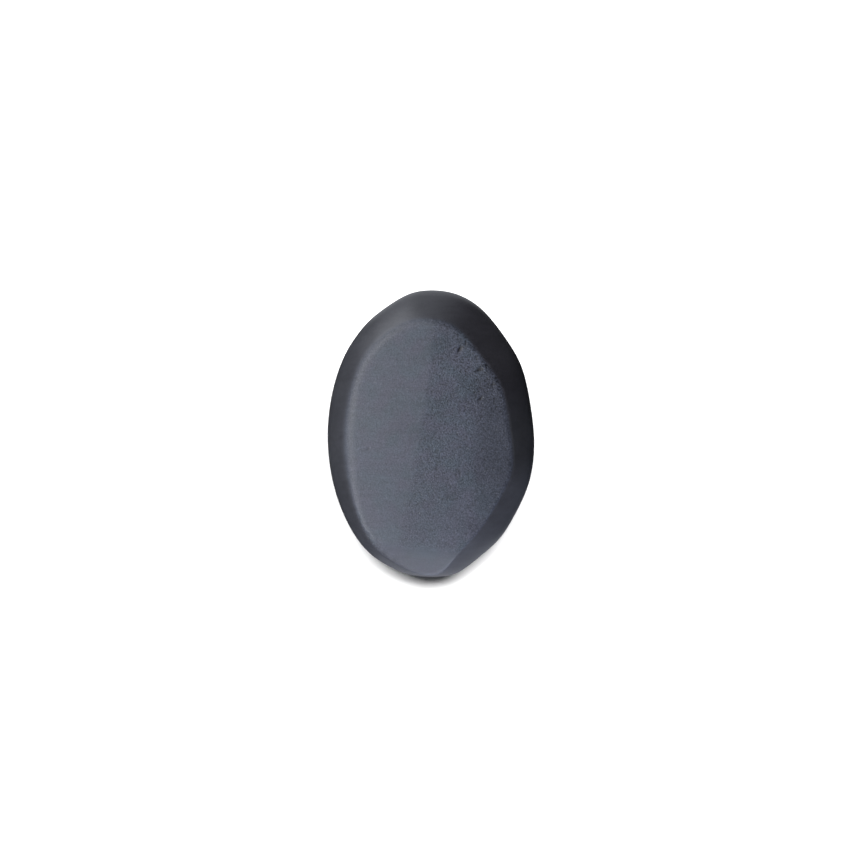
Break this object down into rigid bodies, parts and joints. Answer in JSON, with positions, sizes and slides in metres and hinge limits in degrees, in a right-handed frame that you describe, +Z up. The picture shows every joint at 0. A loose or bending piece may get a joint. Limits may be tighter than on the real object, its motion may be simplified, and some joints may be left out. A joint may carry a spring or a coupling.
{
  "type": "basalt massage stone",
  "caption": "Solid oval basalt stone with ground faces and a bevelled rim, warmed and held in the palm for massage; lies on its flat underside.",
  "frame": {"origin": "on the flat rest face, under the middle of the stone's outline", "axes": "+Y along the stone's long axis, towards the end with the narrower, rounder tip; +X across it; +Z up through the thickness, out of the domed upper face"},
  "size_m": [0.0578, 0.08, 0.025],
  "materials": {
    "basalt": "matte"
  },
  "bodies": {
    "root": {"stone_body": "basalt"}
  },
  "joints": []
}
